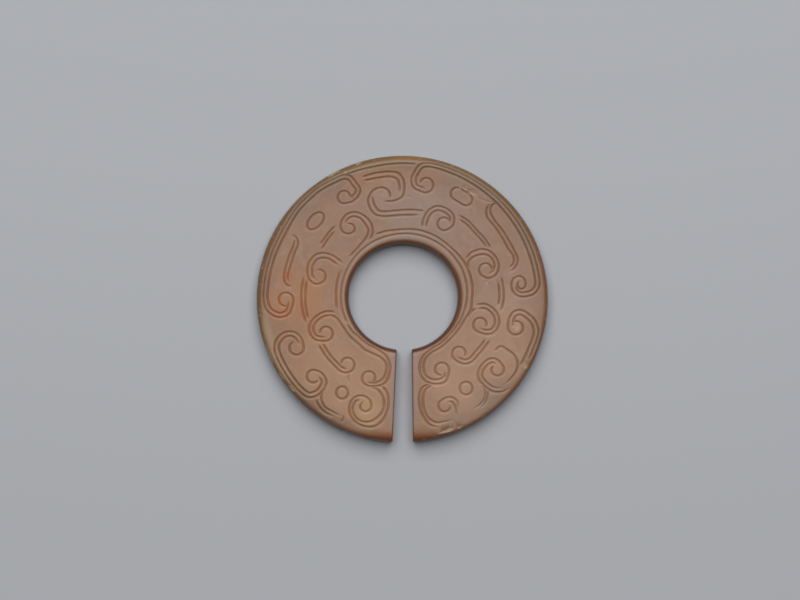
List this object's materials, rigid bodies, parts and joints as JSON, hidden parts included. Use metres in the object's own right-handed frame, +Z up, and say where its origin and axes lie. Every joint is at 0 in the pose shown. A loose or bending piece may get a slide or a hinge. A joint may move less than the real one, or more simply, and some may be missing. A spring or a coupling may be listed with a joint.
{
  "type": "jade slit ring",
  "caption": "Flat jade ring with a central bore, a slit cut through one side, rounded edges and wheel-cut scrollwork on its upper face.",
  "frame": {"origin": "on the resting surface, under the middle of the ring's box", "axes": "+Z up through the thickness, with the carved face on top; the slit opens towards -Y"},
  "size_m": [0.0522, 0.0513, 0.0036],
  "materials": {
    "jade": "satin to waxy polish, olive brown nephrite with orange and tan staining"
  },
  "bodies": {
    "root": {"slit_ring": "jade"}
  },
  "joints": []
}
